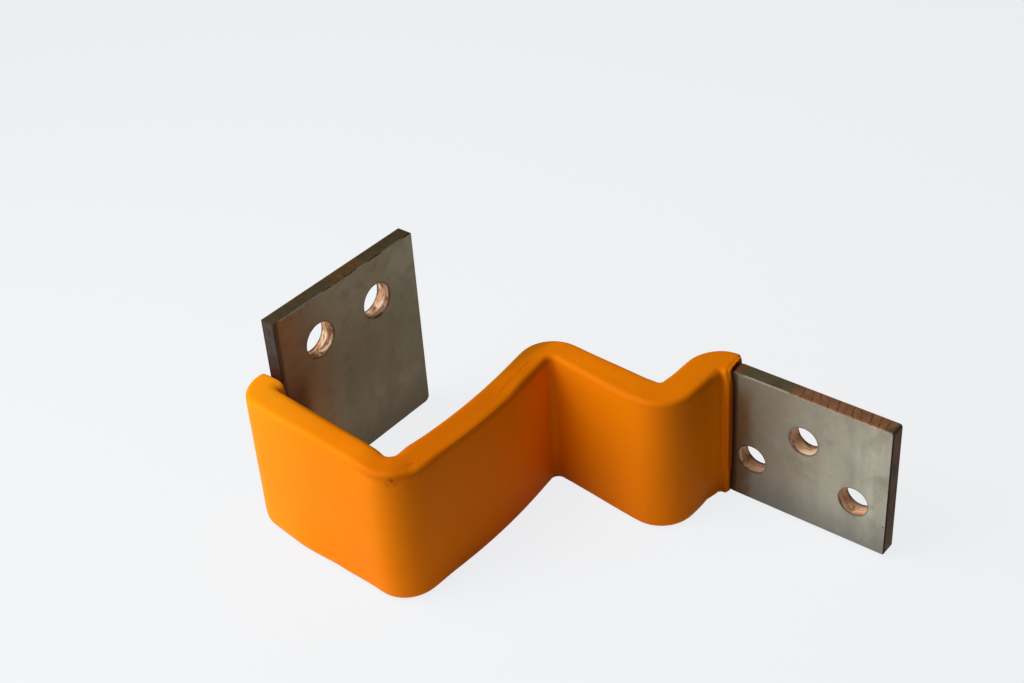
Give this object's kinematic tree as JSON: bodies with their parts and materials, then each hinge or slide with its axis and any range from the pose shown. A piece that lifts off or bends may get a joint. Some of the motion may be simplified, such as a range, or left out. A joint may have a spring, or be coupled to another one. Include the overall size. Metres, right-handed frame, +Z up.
{
  "type": "braided busbar",
  "caption": "Flat braided copper busbar in an orange insulating sleeve, bent in plan, with a tall plated palm and a lower plated palm that bolt to terminals.",
  "frame": {"origin": "under the middle of the part's box, on the surface that it stands on", "axes": "+Z up, with the strip on edge; +X along the part towards the right palm; +Y away from the viewer"},
  "size_m": [0.1852, 0.1152, 0.0738],
  "materials": {
    "plated_copper": "dull tin plate with patches where the copper shows",
    "bare_copper": "bright copper wire",
    "orange_plastic": "satin orange sleeve"
  },
  "bodies": {
    "root": {"left_terminal": "plated_copper", "right_terminal": "plated_copper", "copper_braid": "bare_copper", "insulating_sleeve": "orange_plastic"}
  },
  "joints": []
}
